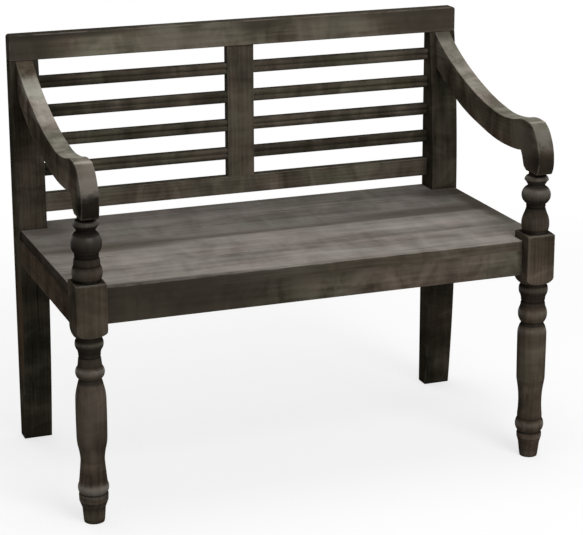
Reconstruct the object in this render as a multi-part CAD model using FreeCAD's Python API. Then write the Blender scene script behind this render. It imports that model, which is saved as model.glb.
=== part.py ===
import FreeCAD, Part
import math
import os

# A bench in solid wood: slatted back, scrolled arms on turned front legs, plain rear posts.
# Lengths are millimetres. Y runs to the back, Z up, and X to the right as seen from in front,
# which is also how left and right are meant in the names.
# The origin is on the floor, under the middle of the bench's box.

# Whole bench
overall_width = 980.0
overall_depth = 524.0
overall_height = 858.0
seat_height = 462.0

# Front legs: one square blank each, turned above and below its block
leg_square = 59.0
block_rise_over_seat = 14.5
block_drop_under_apron = 14.0
block_bottom_shoulder = 20.0
block_top_shoulder = 2.0
block_shoulder_radius = 28.2
spindle_length = 124.5
arm_pin_radius = 11.0
arm_pin_length = 38.0

# Rear posts: straight behind, full in front at the seat and tapered above and below it
post_width = 59.0
post_depth_seat = 57.0
post_depth_top = 31.0
post_depth_foot = 33.0

# Back
top_rail_height = 52.0
top_rail_corner_radius = 6.0
lower_rail_height = 38.5
lower_rail_thickness = 22.0
lower_rail_clearance_over_seat = 25.5
mullion_width = 58.0
mullion_thickness = 22.0
slat_height = 24.5
slat_thickness = 17.0
slat_reed_rise = 2.2
slats_per_side = 4

# Arms
arm_width = 40.0
arm_nose_overhang = 10.0
arm_drop_under_rail = 3.0
curve_tolerance = 0.5

# Seat
seat_thickness = 20.0
seat_board_gap = 1.5
seat_edge_radius = 3.0
rear_board_width = 118.0
rear_board_count = 2
front_board_count = 2
seat_front_setback = 24.0
seat_side_setback = 4.0
seat_back_setback = 2.0
notch_clearance = 1.0

# Aprons and what is under the seat
apron_height = 52.0
apron_thickness = 22.0
front_apron_setback = 26.0
rear_apron_setback = 10.0
bearer_offset = 160.0
bearer_width = 24.0
bearer_height = 30.0
cleat_width = 22.0
cleat_height = 25.0
cleat_end_gap = 4.0
brace_thickness = 24.0
brace_height = 40.0
brace_leg_gap = 8.0

# Mortise-and-tenon joints: length, width and thickness of each tenon
rail_tenon = (30.0, 24.0, 11.0)
apron_tenon = (30.0, 36.0, 11.0)
post_top_tenon = (30.0, 38.0, 12.0)
mullion_tenon = (18.0, 38.0, 10.0)
slat_tenon = (14.0, 13.0, 9.0)
arm_tenon = (18.0, 40.0, 14.0)
bearer_tenon = (9.0, 18.0, 14.0)
joint_clearance = 0.15
mortise_end_gap = 1.0

# Turned outlines from the bottom up. Heights are shares of the turned length, radii of
# half the blank. A straight stretch has its end, a round one its middle and its end.
# Round stretches are spun as a few short cones each, to keep the leg's surface light.
bead_steps = 3
sweep_steps = 2
lower_turning_shares = [
    ("start", (0.0, 0.63)),
    ("straight", (0.076, 0.71)),
    ("straight", (0.076, 0.88)),
    ("straight", (0.133, 0.88)),
    ("straight", (0.133, 0.82)),
    ("straight", (0.143, 0.82)),
    ("bead", (0.184, 0.970), (0.225, 0.82)),
    ("sweep", (0.325, 0.768), (0.400, 0.875)),
    ("straight", (0.480, 0.985)),
    ("straight", (0.655, 0.985)),
    ("sweep", (0.715, 0.90), (0.772, 0.765)),
    ("bead", (0.8145, 0.950), (0.857, 0.765)),
    ("straight", (0.920, 0.765)),
    ("straight", (0.958, 0.945)),
    ("straight", (1.0, 0.945)),
]
upper_turning_shares = [
    ("start", (0.0, 0.92)),
    ("straight", (0.180, 0.92)),
    ("straight", (0.445, 0.64)),
    ("bead", (0.605, 0.985), (0.765, 0.64)),
    ("straight", (0.765, 0.58)),
    ("straight", (0.780, 0.58)),
    ("bead", (0.8625, 0.80), (0.945, 0.58)),
    ("straight", (1.0, 0.55)),
]

# Arm outline from the side: shares of the reach from the post's top to the nose, and of
# the rise from the spindle's top to the arm's upper end.
arm_top_shares = [
    (0.0, 1.0), (0.053, 0.911), (0.154, 0.777), (0.255, 0.672), (0.357, 0.585), (0.458, 0.515),
    (0.56, 0.465), (0.659, 0.437), (0.763, 0.452), (0.858, 0.495), (0.929, 0.450), (0.979, 0.325),
    (1.0, 0.17),
]
arm_nose_end_shares = (0.953, 0.0)
arm_heel_shares = [(0.891, 0.0), (0.869, 0.030), (0.853, 0.120), (0.839, 0.145)]
arm_under_shares = [
    (0.735, 0.148), (0.64, 0.158), (0.555, 0.185), (0.46, 0.230), (0.356, 0.285), (0.261, 0.355),
    (0.148, 0.470), (0.053, 0.585), (-0.018, 0.69),
]

# Places that follow from the sizes
side_x = overall_width / 2
post_x = side_x - post_width / 2
post_inner_x = side_x - post_width
leg_x = side_x - leg_square / 2
leg_inner_x = side_x - leg_square
back_y = overall_depth / 2
nose_y = -back_y
leg_front_y = nose_y + arm_nose_overhang
leg_rear_y = leg_front_y + leg_square
leg_y = (leg_front_y + leg_rear_y) / 2
post_front_y = back_y - post_depth_seat
post_top_front_y = back_y - post_depth_top
rail_y = back_y - post_depth_top / 2
post_top = overall_height - top_rail_height
seat_underside = seat_height - seat_thickness
apron_bottom = seat_underside - apron_height
apron_z = seat_underside - apron_height / 2
block_bottom = apron_bottom - block_drop_under_apron
block_top = seat_height + block_rise_over_seat
spindle_top = block_top + spindle_length
arm_top = post_top - arm_drop_under_rail
lower_rail_bottom = seat_height + lower_rail_clearance_over_seat
lower_rail_top = lower_rail_bottom + lower_rail_height
front_apron_y = leg_front_y + front_apron_setback + apron_thickness / 2
rear_apron_y = back_y - rear_apron_setback - apron_thickness / 2
front_apron_inner_y = front_apron_y + apron_thickness / 2
rear_apron_inner_y = rear_apron_y - apron_thickness / 2
side_apron_x = side_x - apron_thickness / 2
side_apron_inner_x = side_x - apron_thickness
slat_gap = (post_top - lower_rail_top - slats_per_side * slat_height) / (slats_per_side + 1)
leg_step = side_apron_inner_x - leg_inner_x
brace_run = math.hypot(brace_thickness, brace_thickness)
brace_corner_run = math.hypot(brace_leg_gap, brace_leg_gap)
brace_reach = leg_step + brace_corner_run + brace_run

along_x = FreeCAD.Vector(1, 0, 0)
along_y = FreeCAD.Vector(0, 1, 0)
along_z = FreeCAD.Vector(0, 0, 1)


# A box from its two corners
def box(x0, y0, z0, x1, y1, z1):
    return Part.makeBox(x1 - x0, y1 - y0, z1 - z0, FreeCAD.Vector(x0, y0, z0))


# A tenon from its shoulder's middle, or with the last two values the mortise that takes it
def tongue(root, axis, wide_axis, sizes, grow=0.0, deeper=0.0):
    length, width, thickness = sizes
    reach = length + deeper
    third = axis.cross(wide_axis)
    spread = axis * reach + wide_axis * (width + 2 * grow) + third * (thickness + 2 * grow)
    size = FreeCAD.Vector(abs(spread.x), abs(spread.y), abs(spread.z))
    corner = root + axis * (reach / 2) - size / 2
    return Part.makeBox(size.x, size.y, size.z, corner)


def mortise(joint):
    return tongue(*joint, joint_clearance, mortise_end_gap)


# Solid between two planes across X, from edges that lie in a plane across X
def extruded_along_x(edges, x0, x1):
    face = Part.Face(Part.Wire(edges))
    solid = face.extrude(along_x * (x1 - x0))
    solid.translate(along_x * x0)
    return solid


def line(start, end):
    return Part.LineSegment(start, end).toShape()


def arc(start, middle, end):
    return Part.Arc(start, middle, end).toShape()


# Quarter round that takes off a square corner between two spots
def quarter_round(start, corner, end):
    centre = start + end - corner
    return arc(start, centre + (corner - centre) * math.sqrt(0.5), end)


# A smooth curve through points, laid down as arcs that run into each other
def curve(points, end_way):
    spline = Part.BSplineCurve()
    spline.interpolate(Points=points, InitialTangent=points[1] - points[0], FinalTangent=end_way)
    return [piece.toShape() for piece in spline.toBiArcs(curve_tolerance)]


# How far a round sweep has moved sideways, at some height from where it left the upright
def sweep_offset(run, rise, height):
    radius = (rise ** 2 + run ** 2) / (2 * run)
    return radius - math.sqrt(radius ** 2 - height ** 2)


def side_point(y, z):
    return FreeCAD.Vector(0, y, z)


def mirrored(shape):
    return shape.mirror(FreeCAD.Vector(0, 0, 0), along_x)


# Middle height of one slat, the first being the top one
def slat_z(index):
    return post_top - (index + 1) * slat_gap - index * slat_height - slat_height / 2


# Joints. Each gives the shoulder's middle, the tenon's way, its wide way and its sizes.
def post_top_joint(side):
    root = FreeCAD.Vector(side * post_x, rail_y, post_top)
    return root, along_z, along_x, post_top_tenon


def lower_rail_joint(side):
    root = FreeCAD.Vector(side * post_inner_x, rail_y, (lower_rail_bottom + lower_rail_top) / 2)
    return root, along_x * side, along_z, rail_tenon


def rear_apron_joint(side):
    return FreeCAD.Vector(side * post_inner_x, rear_apron_y, apron_z), along_x * side, along_z, apron_tenon


def front_apron_joint(side):
    return FreeCAD.Vector(side * leg_inner_x, front_apron_y, apron_z), along_x * side, along_z, apron_tenon


def side_apron_front_joint():
    return FreeCAD.Vector(side_apron_x, leg_rear_y, apron_z), -along_y, along_z, apron_tenon


def side_apron_rear_joint():
    return FreeCAD.Vector(side_apron_x, post_front_y, apron_z), along_y, along_z, apron_tenon


def slat_post_joint(side, index):
    return FreeCAD.Vector(side * post_inner_x, rail_y, slat_z(index)), along_x * side, along_z, slat_tenon


def slat_mullion_joint(side, index):
    root = FreeCAD.Vector(side * mullion_width / 2, rail_y, slat_z(index))
    return root, along_x * -side, along_z, slat_tenon


def mullion_top_joint():
    return FreeCAD.Vector(0, rail_y, post_top), along_z, along_x, mullion_tenon


def mullion_bottom_joint():
    return FreeCAD.Vector(0, rail_y, lower_rail_top), -along_z, along_x, mullion_tenon


def bearer_front_joint(side):
    root = FreeCAD.Vector(side * bearer_offset, front_apron_inner_y, seat_underside - bearer_height / 2)
    return root, -along_y, along_z, bearer_tenon


def bearer_rear_joint(side):
    root = FreeCAD.Vector(side * bearer_offset, rear_apron_inner_y, seat_underside - bearer_height / 2)
    return root, along_y, along_z, bearer_tenon


# Front of a post above the seat and below the apron, where it bends back in a round sweep
def post_upper_front_y(z):
    run = post_depth_seat - post_depth_top
    return post_front_y + sweep_offset(run, post_top - seat_height, z - seat_height)


def post_lower_front_y(z):
    run = post_depth_seat - post_depth_foot
    return post_front_y + sweep_offset(run, apron_bottom, apron_bottom - z)


# The tenon starts inside the arm, because the post's front is curved where they meet
def arm_post_joint():
    length, width, thickness = arm_tenon
    z = arm_point((0.0, (arm_top_shares[1][1] + arm_under_shares[-2][1]) / 2)).z
    y = post_upper_front_y(z) - length
    root = FreeCAD.Vector(leg_x, y, z)
    return root, along_y, along_z, (2 * length, width, thickness)


def arm_point(shares):
    reach = post_top_front_y - nose_y
    rise = arm_top - spindle_top
    return side_point(post_top_front_y - shares[0] * reach, spindle_top + shares[1] * rise)


# Spot beside the leg's axis
def leg_spot(radius, z):
    return FreeCAD.Vector(leg_x + radius, leg_y, z)


# Spots that part a round stretch into equal steps, the first left out
def stepped(round_stretch, steps):
    return round_stretch.discretize(steps + 1)[1:]


def turned_outline(shares, bottom, height):
    spots = []
    for kind, *points in shares:
        places = [leg_spot(radius * leg_square / 2, bottom + rise * height) for rise, radius in points]
        if kind == "bead":
            places = stepped(arc(spots[-1], *places), bead_steps)
        elif kind == "sweep":
            places = stepped(arc(spots[-1], *places), sweep_steps)
        spots.extend(places)
    return spots


# The lathe rounded off the block's corners, more below than above
def block_outline():
    corner = math.hypot(leg_square, leg_square) / 2 + joint_clearance
    low = leg_spot(block_shoulder_radius, block_bottom)
    low_end = leg_spot(corner, block_bottom + block_bottom_shoulder)
    high_start = leg_spot(corner, block_top - block_top_shoulder)
    high = leg_spot(block_shoulder_radius, block_top)
    shoulder = quarter_round(low, leg_spot(corner, block_bottom), low_end)
    return [low] + stepped(shoulder, sweep_steps) + [high_start, high]


# Front leg: one outline spun round its axis, cut to the square blank it was turned from
def front_leg():
    foot = leg_spot(0, 0)
    top = leg_spot(0, spindle_top)
    outline = turned_outline(lower_turning_shares, 0, block_bottom)
    outline += block_outline()
    outline += turned_outline(upper_turning_shares, block_top, spindle_length)
    face = Part.Face(Part.makePolygon([foot] + outline + [top, foot]))
    leg = face.revolve(foot, along_z, 360)
    leg = leg.common(box(leg_inner_x, leg_front_y, 0, side_x, leg_rear_y, spindle_top))
    leg = leg.fuse(Part.makeCylinder(arm_pin_radius, arm_pin_length, top, along_z))
    leg = leg.cut(mortise(front_apron_joint(1)))
    return leg.cut(mortise(side_apron_front_joint()))


# Post before its joints are cut, used also to shape the arm's end
def post_blank():
    foot = side_point(post_lower_front_y(0), 0)
    foot_mid = side_point(post_lower_front_y(apron_bottom / 2), apron_bottom / 2)
    waist_low = side_point(post_front_y, apron_bottom)
    waist_high = side_point(post_front_y, seat_height)
    mid_z = (seat_height + post_top) / 2
    head_mid = side_point(post_upper_front_y(mid_z), mid_z)
    head = side_point(post_upper_front_y(post_top), post_top)
    back_top = side_point(back_y, post_top)
    back_foot = side_point(back_y, 0)
    edges = [
        arc(foot, foot_mid, waist_low),
        line(waist_low, waist_high),
        arc(waist_high, head_mid, head),
        line(head, back_top),
        line(back_top, back_foot),
        line(back_foot, foot),
    ]
    return extruded_along_x(edges, post_inner_x, side_x)


def rear_post():
    post = post_blank().fuse(tongue(*post_top_joint(1)))
    cuts = [mortise(lower_rail_joint(1)), mortise(rear_apron_joint(1))]
    cuts.append(mortise(side_apron_rear_joint()))
    cuts.append(mortise(arm_post_joint()))
    for index in range(slats_per_side):
        cuts.append(mortise(slat_post_joint(1, index)))
    for cut in cuts:
        post = post.cut(cut)
    return post


def top_rail():
    low_left = FreeCAD.Vector(-side_x, post_top_front_y, post_top)
    low_right = FreeCAD.Vector(side_x, post_top_front_y, post_top)
    high_left = FreeCAD.Vector(-side_x, post_top_front_y, overall_height)
    high_right = FreeCAD.Vector(side_x, post_top_front_y, overall_height)
    down = -along_z * top_rail_corner_radius
    inward = along_x * top_rail_corner_radius
    edges = [
        line(low_left, low_right),
        line(low_right, high_right + down),
        quarter_round(high_right + down, high_right, high_right - inward),
        line(high_right - inward, high_left + inward),
        quarter_round(high_left + inward, high_left, high_left + down),
        line(high_left + down, low_left),
    ]
    rail = Part.Face(Part.Wire(edges)).extrude(along_y * post_depth_top)
    for side in (-1, 1):
        rail = rail.cut(mortise(post_top_joint(side)))
    return rail.cut(mortise(mullion_top_joint()))


def lower_back_rail():
    front = rail_y - lower_rail_thickness / 2
    rear = rail_y + lower_rail_thickness / 2
    rail = box(-post_inner_x, front, lower_rail_bottom, post_inner_x, rear, lower_rail_top)
    for side in (-1, 1):
        rail = rail.fuse(tongue(*lower_rail_joint(side)))
    return rail.cut(mortise(mullion_bottom_joint()))


def centre_mullion():
    front = rail_y - mullion_thickness / 2
    rear = rail_y + mullion_thickness / 2
    mullion = box(-mullion_width / 2, front, lower_rail_top, mullion_width / 2, rear, post_top)
    mullion = mullion.fuse([tongue(*mullion_top_joint()), tongue(*mullion_bottom_joint())])
    for side in (-1, 1):
        for index in range(slats_per_side):
            mullion = mullion.cut(mortise(slat_mullion_joint(side, index)))
    return mullion


# Slat with two reeds run along its front
def back_slat(side, index):
    middle = slat_z(index)
    low = middle - slat_height / 2
    high = middle + slat_height / 2
    rear = rail_y + slat_thickness / 2
    front = rail_y - slat_thickness / 2
    groove = front + slat_reed_rise
    edges = [
        line(side_point(groove, low), side_point(rear, low)),
        line(side_point(rear, low), side_point(rear, high)),
        line(side_point(rear, high), side_point(groove, high)),
        arc(side_point(groove, high), side_point(front, (high + middle) / 2), side_point(groove, middle)),
        arc(side_point(groove, middle), side_point(front, (low + middle) / 2), side_point(groove, low)),
    ]
    inner = side * mullion_width / 2
    outer = side * post_inner_x
    slat = extruded_along_x(edges, min(inner, outer), max(inner, outer))
    return slat.fuse([tongue(*slat_post_joint(side, index)), tongue(*slat_mullion_joint(side, index))])


# S-shaped arm whose nose rolls over and sits on the turned spindle
def arm():
    top = [arm_point(shares) for shares in arm_top_shares]
    nose = top[-1]
    nose_end = arm_point(arm_nose_end_shares)
    nose_drop = nose.z - nose_end.z
    nose_mid_y = nose.y + sweep_offset(nose_end.y - nose.y, nose_drop, nose_drop / 2)
    heel = [arm_point(shares) for shares in arm_heel_shares]
    under = [arm_point(shares) for shares in arm_under_shares]
    low_end = side_point(rail_y, under[-1].z)
    high_end = side_point(rail_y, arm_top)
    edges = curve(top, -along_z)
    edges.append(arc(nose, side_point(nose_mid_y, nose.z - nose_drop / 2), nose_end))
    for start, end in zip([nose_end] + heel, heel):
        edges.append(line(start, end))
    edges += curve([heel[-1]] + under, under[-1] - under[-2])
    for start, end in zip([under[-1], low_end, high_end], [low_end, high_end, top[0]]):
        edges.append(line(start, end))
    body = extruded_along_x(edges, leg_x - arm_width / 2, leg_x + arm_width / 2)
    body = body.cut(post_blank())
    body = body.fuse(tongue(*arm_post_joint()))
    hole_radius = arm_pin_radius + joint_clearance
    hole_length = arm_pin_length + mortise_end_gap
    pin_foot = FreeCAD.Vector(leg_x, leg_y, spindle_top)
    return body.cut(Part.makeCylinder(hole_radius, hole_length, pin_foot, along_z))


def front_apron():
    front = front_apron_y - apron_thickness / 2
    apron = box(-leg_inner_x, front, apron_bottom, leg_inner_x, front_apron_inner_y, seat_underside)
    for side in (-1, 1):
        apron = apron.fuse(tongue(*front_apron_joint(side)))
        apron = apron.cut(mortise(bearer_front_joint(side)))
    return apron


def rear_apron():
    rear = rear_apron_y + apron_thickness / 2
    apron = box(-post_inner_x, rear_apron_inner_y, apron_bottom, post_inner_x, rear, seat_underside)
    for side in (-1, 1):
        apron = apron.fuse(tongue(*rear_apron_joint(side)))
        apron = apron.cut(mortise(bearer_rear_joint(side)))
    return apron


def side_apron():
    apron = box(side_apron_inner_x, leg_rear_y, apron_bottom, side_x, post_front_y, seat_underside)
    return apron.fuse([tongue(*side_apron_front_joint()), tongue(*side_apron_rear_joint())])


# Front and rear edge of each seat board, front board first
def seat_board_edges():
    front = leg_front_y + seat_front_setback
    depth = back_y - seat_back_setback - front
    depth -= (front_board_count + rear_board_count - 1) * seat_board_gap
    front_board_width = (depth - rear_board_count * rear_board_width) / front_board_count
    edges = []
    for width in [front_board_width] * front_board_count + [rear_board_width] * rear_board_count:
        edges.append((front, front + width))
        front = front + width + seat_board_gap
    return edges


# Seat board, notched round the legs' blocks and the posts. The seat's front edge is rounded.
def seat_board(index):
    front, rear = seat_board_edges()[index]
    half = side_x - seat_side_setback
    board = box(-half, front, seat_underside, half, rear, seat_height)
    if index == 0:
        corner = side_point(front, seat_height)
        below = corner - along_z * seat_edge_radius
        behind = corner + along_y * seat_edge_radius
        waste = [line(below, corner), line(corner, behind), quarter_round(below, corner, behind)]
        board = board.cut(extruded_along_x(waste, -half, half))
    low = seat_underside
    for side in (-1, 1):
        leg = FreeCAD.Vector(side * leg_x, leg_y, low)
        post = FreeCAD.Vector(side * post_x, back_y - post_depth_seat / 2, low)
        for centre, width, depth in ((leg, leg_square, leg_square), (post, post_width, post_depth_seat)):
            across = (seat_thickness, width, depth)
            board = board.cut(tongue(centre, along_z, along_x, across, notch_clearance))
    return board


def seat_bearer(side):
    inner = side * bearer_offset - bearer_width / 2
    outer = side * bearer_offset + bearer_width / 2
    low = seat_underside - bearer_height
    bearer = box(inner, front_apron_inner_y, low, outer, rear_apron_inner_y, seat_underside)
    return bearer.fuse([tongue(*bearer_front_joint(side)), tongue(*bearer_rear_joint(side))])


# Cleat along a side apron, between the corner braces
def seat_cleat():
    front = leg_rear_y + brace_reach + cleat_end_gap
    rear = post_front_y - brace_reach - cleat_end_gap
    low = seat_underside - cleat_height
    return box(side_apron_inner_x - cleat_width, front, low, side_apron_inner_x, rear, seat_underside)


# Brace glued across a corner, clear of the leg or post that stands in it. Way is 1 for a
# corner whose seat lies behind it and -1 for one whose seat lies in front.
def corner_brace(apron_y, corner_y, way):
    low = seat_underside - brace_height
    far_x = leg_inner_x - abs(apron_y - corner_y) - brace_corner_run
    near_y = corner_y + way * (leg_step + brace_corner_run)
    corners = [
        FreeCAD.Vector(far_x, apron_y, low),
        FreeCAD.Vector(side_apron_inner_x, near_y, low),
        FreeCAD.Vector(side_apron_inner_x, near_y + way * brace_run, low),
        FreeCAD.Vector(far_x - brace_run, apron_y, low),
    ]
    outline = Part.makePolygon(corners + corners[:1])
    return Part.Face(outline).extrude(along_z * brace_height)


def save(name, shape):
    if not shape.isValid():
        raise ValueError("not a valid solid: " + name)
    shape.exportStep("parts/" + name + ".step")
    print(name, len(shape.Solids), "solid(s)", round(shape.Volume / 1000), "cm3")


def save_pair(name, shape):
    save(name + "_left", mirrored(shape))
    save(name + "_right", shape)


os.makedirs("parts", exist_ok=True)
save_pair("front_leg", front_leg())
save_pair("rear_post", rear_post())
save_pair("arm", arm())
save("top_rail", top_rail())
save("lower_back_rail", lower_back_rail())
save("centre_mullion", centre_mullion())
for number in range(slats_per_side):
    save("back_slat_left_" + str(number + 1), back_slat(-1, number))
    save("back_slat_right_" + str(number + 1), back_slat(1, number))
save("front_apron", front_apron())
save("rear_apron", rear_apron())
save_pair("side_apron", side_apron())
for number in range(len(seat_board_edges())):
    save("seat_board_" + str(number + 1), seat_board(number))
save("seat_bearer_left", seat_bearer(-1))
save("seat_bearer_right", seat_bearer(1))
save_pair("seat_cleat", seat_cleat())
save_pair("front_corner_brace", corner_brace(front_apron_inner_y, leg_rear_y, 1))
save_pair("rear_corner_brace", corner_brace(rear_apron_inner_y, post_front_y, -1))
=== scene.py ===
import bisect
import math
import random

import bmesh
import bpy
from mathutils import Matrix, Vector


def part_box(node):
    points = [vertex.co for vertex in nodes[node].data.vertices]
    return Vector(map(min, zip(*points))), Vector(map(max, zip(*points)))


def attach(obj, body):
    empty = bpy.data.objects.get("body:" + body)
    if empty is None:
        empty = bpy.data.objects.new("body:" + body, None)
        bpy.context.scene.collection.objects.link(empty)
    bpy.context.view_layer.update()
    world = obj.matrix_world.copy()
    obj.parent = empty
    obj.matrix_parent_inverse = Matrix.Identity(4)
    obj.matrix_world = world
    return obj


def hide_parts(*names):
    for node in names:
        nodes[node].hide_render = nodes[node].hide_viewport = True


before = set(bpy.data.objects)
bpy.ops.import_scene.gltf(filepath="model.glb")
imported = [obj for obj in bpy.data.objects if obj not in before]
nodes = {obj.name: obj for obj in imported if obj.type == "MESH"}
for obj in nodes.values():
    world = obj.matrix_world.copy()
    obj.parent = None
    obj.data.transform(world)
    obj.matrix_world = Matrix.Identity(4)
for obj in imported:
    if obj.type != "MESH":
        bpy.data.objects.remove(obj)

# the start-up scene's own cube, lamp and camera aren't wanted
for leftOver in ("Cube", "Light", "Camera"):
    if leftOver in bpy.data.objects:
        bpy.data.objects.remove(bpy.data.objects[leftOver])

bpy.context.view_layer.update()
mm = 0.001
turn = 2 * math.pi
alongX, alongY, alongZ = Vector((1, 0, 0)), Vector((0, 1, 0)), Vector((0, 0, 1))
# how close two places are before they count as one, in metres
hair, dust, speck, mote = 1e-5, 1e-6, 1e-7, 1e-8
picker = random.Random(7)


# ---- wood finishes

def linear(level):
    # the screen's own curve between 0 and 255, undone
    share = level / 255
    return share / 12.92 if level < 10.3 else ((share + 0.055) / 1.055) ** 2.4


def tone(red, green, blue):
    # a colour as read on a screen, for the shader
    return linear(red), linear(green), linear(blue), 1.0


def addNode(tree, kind, inputs=None, **settings):
    node = tree.nodes.new("ShaderNode" + kind)
    for key, value in settings.items():
        setattr(node, key, value)
    for key, value in (inputs or {}).items():
        if isinstance(value, bpy.types.NodeSocket):
            tree.links.new(value, node.inputs[key])
        else:
            node.inputs[key].default_value = value
    return node


def calc(tree, operation, *values):
    return addNode(tree, "Math", dict(enumerate(values)), operation=operation).outputs[0]


def vectorCalc(tree, operation, *values):
    return addNode(tree, "VectorMath", dict(enumerate(values)), operation=operation)


def ramp(tree, value, low, high, start=0.0, end=1.0, smooth=True):
    kind = "SMOOTHSTEP" if smooth else "LINEAR"
    inputs = {"Value": value, "From Min": low, "From Max": high, "To Min": start, "To Max": end}
    return addNode(tree, "MapRange", inputs, interpolation_type=kind).outputs["Result"]


def blendColour(tree, share, first, second, how="MIX"):
    # a colour mix has sockets of one name for each kind of value, so they are taken by place
    return addNode(tree, "Mix", {0: share, 6: first, 7: second}, data_type="RGBA", blend_type=how).outputs[2]


def stretched(tree, place, axis, along, across):
    # coordinates for a pattern that is drawn out along the grain
    scale = [across] * 3
    scale["XYZ".index(axis)] = along
    return addNode(tree, "Mapping", {"Vector": place, "Scale": scale}).outputs[0]


def noise(tree, place, detail, rough, distortion=0.0):
    inputs = {"Vector": place, "Scale": 1.0, "Detail": detail, "Roughness": rough, "Distortion": distortion}
    return addNode(tree, "TexNoise", inputs).outputs[0]


# stretch along and across the grain, then detail, roughness and distortion of each noise
grainPatterns = {
    "broad": (1.8, 11.0, 2.0, 0.5, 0.4),
    "streak": (4.0, 85.0, 4.0, 0.6),
    "fibre": (26.0, 620.0, 3.0, 0.6),
    "mottle": (19.0, 9.0, 3.0, 0.6, 0.6),
    "tint": (7.0, 14.0, 2.0, 0.5),
    "wear": (22.0, 60.0, 3.0, 0.6),
    "checkLine": (5.0, 170.0, 2.0, 0.5),
    "checkPlace": (3.0, 11.0, 1.0, 0.5),
}
ringPattern = {"Distortion": 6.0, "Detail": 3.0, "Detail Scale": 1.1, "Detail Roughness": 0.6}
ringStretch = (0.16, 1.0)

# where each fade starts and ends
fades = {
    "upward": (0.45, 0.80),
    "sideways": (0.55, 0.98),
    "tint": (0.35, 0.65),
    "patchRim": (-0.55, 0.35),
    "wear": (0.40, 0.60),
    "crownHighlightAndWear": (0.05, 0.85),
    "crownUp": (-0.25, 0.55),
    "groove": (-0.75, -0.05),
    "underside": (-0.75, -0.05),
    "undersideBead": (-0.1, 0.4),
    "checkLine": (0.30, 0.36),
    "checkPlace": (0.50, 0.62),
    "corner": (0.15, 0.75),
    "roughness": (0.7, 1.3),
}

woodSettings = {
    "axis": "X",                # the way the grain runs
    "body": ((52, 47, 42), (74, 68, 60), (98, 92, 83)),     # dark, middle and pale tone
    "top": None,                # the same for upward faces that are rubbed pale
    "topFade": (9.0, 9.1),      # heights between which the rubbed tone fades out
    "topDark": 0.0,             # how far upward faces go to the grime tone instead
    "sideDark": 0.0,            # how far faces to the left and right go to the dark tone: painted shade on the sides
    "edge": (104, 98, 89),
    # dark tone for grime and drying checks, and for painted shade in corners, grooves, undersides and on the sides
    "grime": (32, 29, 25),
    "broad": 0.50,              # long soft clouds
    "streak": 0.30,             # streaks about a centimetre wide
    "fibre": 0.15,              # fine fibres
    "rings": 0.05,              # year rings
    "ringScale": 40.0,
    "mottle": 0.34,             # blotches across the grain
    "contrast": 0.17,
    "tint": 1.0,                # how much red and green show in the grey
    "tints": ((255, 246, 243), (247, 253, 243)),
    "edgeWear": 0.5,
    "turned": 0.0,              # how much turned crowns are painted pale: painted highlight and wear
    "crownFade": (9.0, 9.1, 1.0),   # heights between which the crowns' painted highlight and wear fall to this share
    "groove": 0.55,             # how much painted shade darkens turned grooves and undersides
    "checks": 0.6,              # drying checks
    "corners": 0.75,            # painted shade in corners and along joints
    "cornerReach": 30 * mm,
    "cornerSamples": 8,
    "roughness": 0.62,
    "roughnessSpread": (-0.07, 0.10),
    "gloss": 0.0,
    "bump": 0.5,
    "bumpDepth": 0.9 * mm,
    "fibreHeight": 0.35,
    "streakHeight": 0.30,
    "ringHeight": 0.04,
    "checkDepth": 0.8,
    "patchRagged": 0.9,         # how far mottle and streaks push a patch's rim about
    "patches": (),              # middle and reach in mm, tone and share of each patch: weathered stains, and painted shade and highlights where noted
}


def palette(tree, shade, tones):
    lower = blendColour(tree, ramp(tree, shade, 0.0, 0.5, smooth=False), tone(*tones[0]), tone(*tones[1]))
    return blendColour(tree, ramp(tree, shade, 0.5, 1.0, smooth=False), lower, tone(*tones[2]))


def freshMaterial(name):
    material = bpy.data.materials.new(name)
    material.use_nodes = True
    material.node_tree.nodes.clear()
    return material, material.node_tree


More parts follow.
